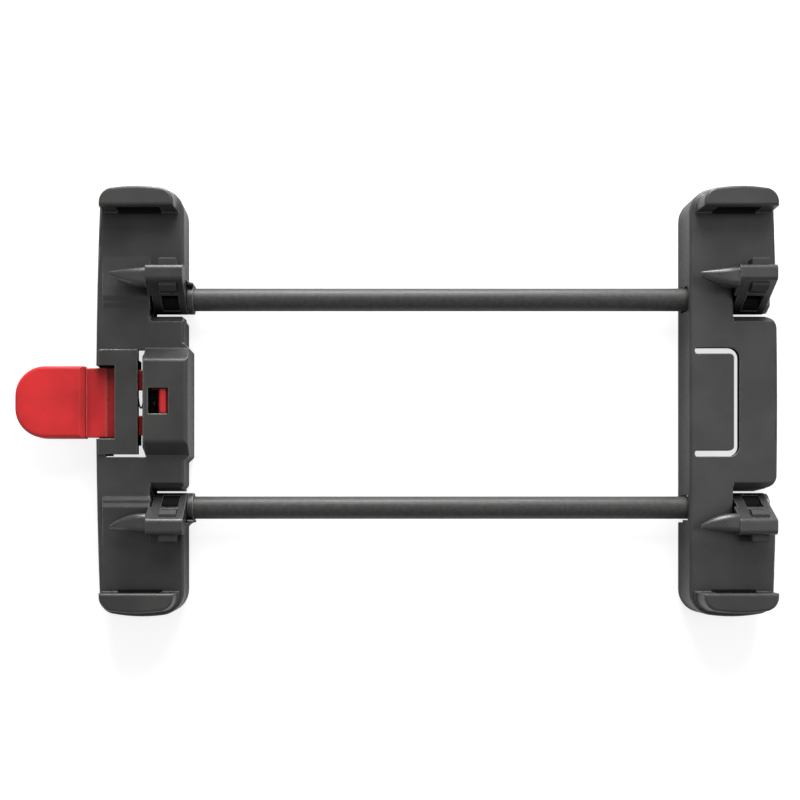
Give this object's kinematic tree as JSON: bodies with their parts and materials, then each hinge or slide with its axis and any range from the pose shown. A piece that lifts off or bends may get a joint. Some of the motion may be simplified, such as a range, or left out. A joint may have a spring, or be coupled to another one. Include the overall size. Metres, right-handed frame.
{
  "type": "quick-release rack carrier frame",
  "caption": "Flat carrier frame with hooked end plates on turning rods; a red pull tab swings its sprung jaws to free it from rack tubes.",
  "frame": {"origin": "centre of the overall box on the back face, which lies on the floor", "axes": "+X along the rods from the pull tab to the far plate, +Y across the rods, +Z out of the front with the lips"},
  "size_m": [0.2676, 0.1506, 0.0248],
  "materials": {
    "end_plate": "fine grained black moulding",
    "jaw": "fine grained black moulding",
    "grip": "matt black rubber",
    "rod": "satin black coating",
    "tab": "satin red moulding",
    "spring_steel": "dark oiled steel"
  },
  "bodies": {
    "frame": {"latch_end_plate": "end_plate", "far_end_plate": "end_plate", "tab_spring": "spring_steel", "upper_torsion_spring": "spring_steel", "lower_torsion_spring": "spring_steel"},
    "slider": {"release_tab": "tab"},
    "upper_shaft": {"upper_rod": "rod", "upper_crank": "spring_steel", "upper_latch_ring": "spring_steel", "upper_far_ring": "spring_steel", "upper_latch_jaw": "jaw", "upper_latch_grip": "grip", "upper_far_jaw": "jaw", "upper_far_grip": "grip"},
    "lower_shaft": {"lower_rod": "rod", "lower_crank": "spring_steel", "lower_latch_ring": "spring_steel", "lower_far_ring": "spring_steel", "lower_latch_jaw": "jaw", "lower_latch_grip": "grip", "lower_far_jaw": "jaw", "lower_far_grip": "grip"}
  },
  "joints": [
    {"name": "tab_slide", "type": "slide", "parent": "frame", "child": "slider", "axis": [-1, 0, 0], "range_m": [0, 0.0032], "stiffness_N_per_m": 400, "springref_m": -0.004, "deforming": ["tab_spring"]},
    {"name": "upper_swing", "type": "hinge", "parent": "frame", "child": "upper_shaft", "pos_m": [0, 0.037, 0.008], "axis": [1, 0, 0], "range_deg": [0, 16], "stiffness_Nm_per_rad": 0.05, "springref_deg": -20.05, "deforming": ["upper_torsion_spring"]},
    {"name": "lower_swing", "type": "hinge", "parent": "frame", "child": "lower_shaft", "pos_m": [0, -0.037, 0.008], "axis": [-1, 0, 0], "range_deg": [0, 16], "stiffness_Nm_per_rad": 0.05, "springref_deg": -20.05, "deforming": ["lower_torsion_spring"]}
  ],
  "couplings": [
    {"joint": "upper_swing", "follows": "tab_slide", "rad_per_m": 87.266},
    {"joint": "lower_swing", "follows": "tab_slide", "rad_per_m": 87.266}
  ]
}
